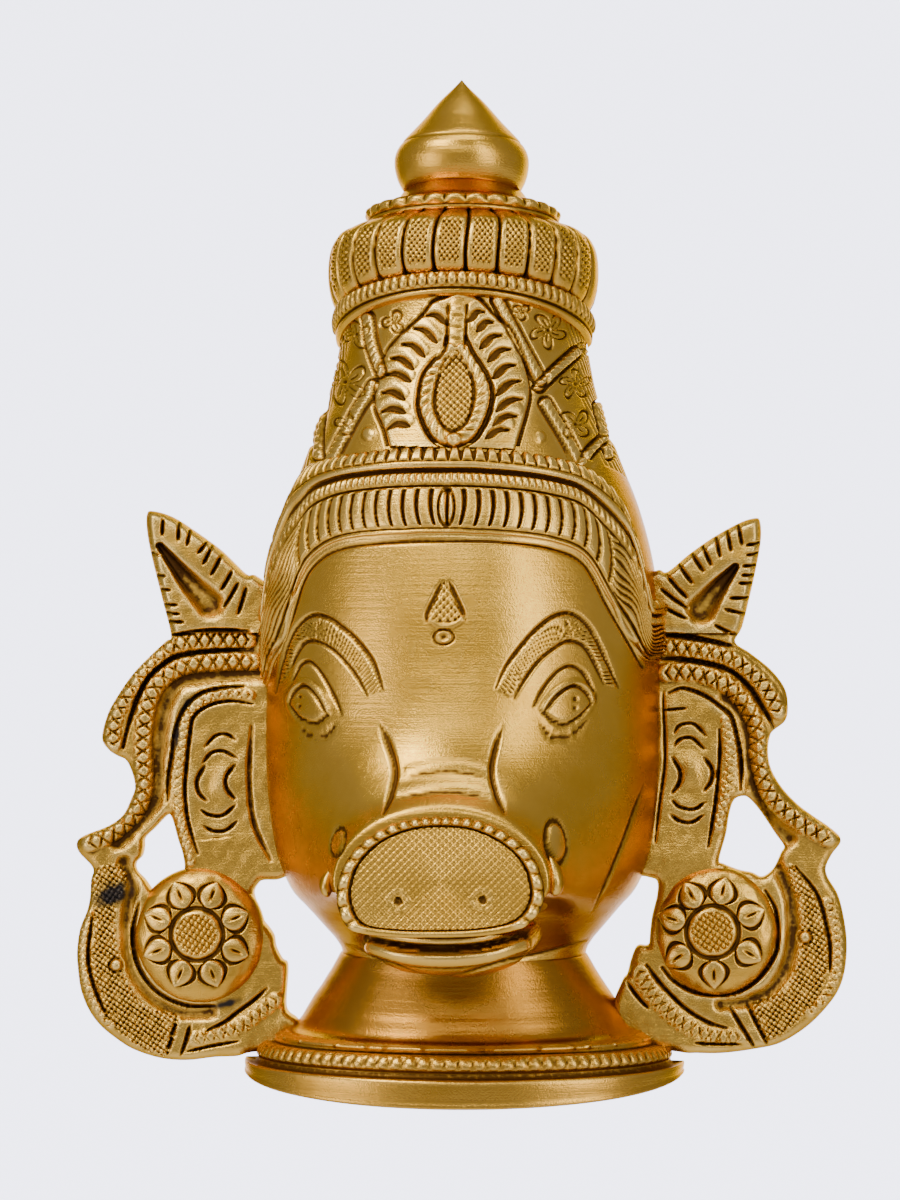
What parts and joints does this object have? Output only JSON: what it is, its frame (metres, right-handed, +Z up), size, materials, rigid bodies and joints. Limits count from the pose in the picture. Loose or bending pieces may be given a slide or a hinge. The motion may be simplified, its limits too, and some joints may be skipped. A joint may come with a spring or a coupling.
{
  "type": "goddess face wall hanging",
  "caption": "Hollow cast brass mask of a boar-faced goddess with a tall carved crown, leaf ears, curling side arms and flower rosettes, hung on a wall by a bar behind the crown.",
  "frame": {"origin": "middle of the hanging bar's flat back face, in the plane of the wall", "axes": "+Y points into the wall, +Z up to the tip of the crown, +X to the viewer's right; the face looks along -Y"},
  "size_m": [0.1763, 0.0639, 0.2299],
  "materials": {
    "aged_brass": "cast and engraved, polished on the face, dark patina in the grooves"
  },
  "bodies": {
    "root": {"goddess_mask": "aged_brass"}
  },
  "joints": []
}
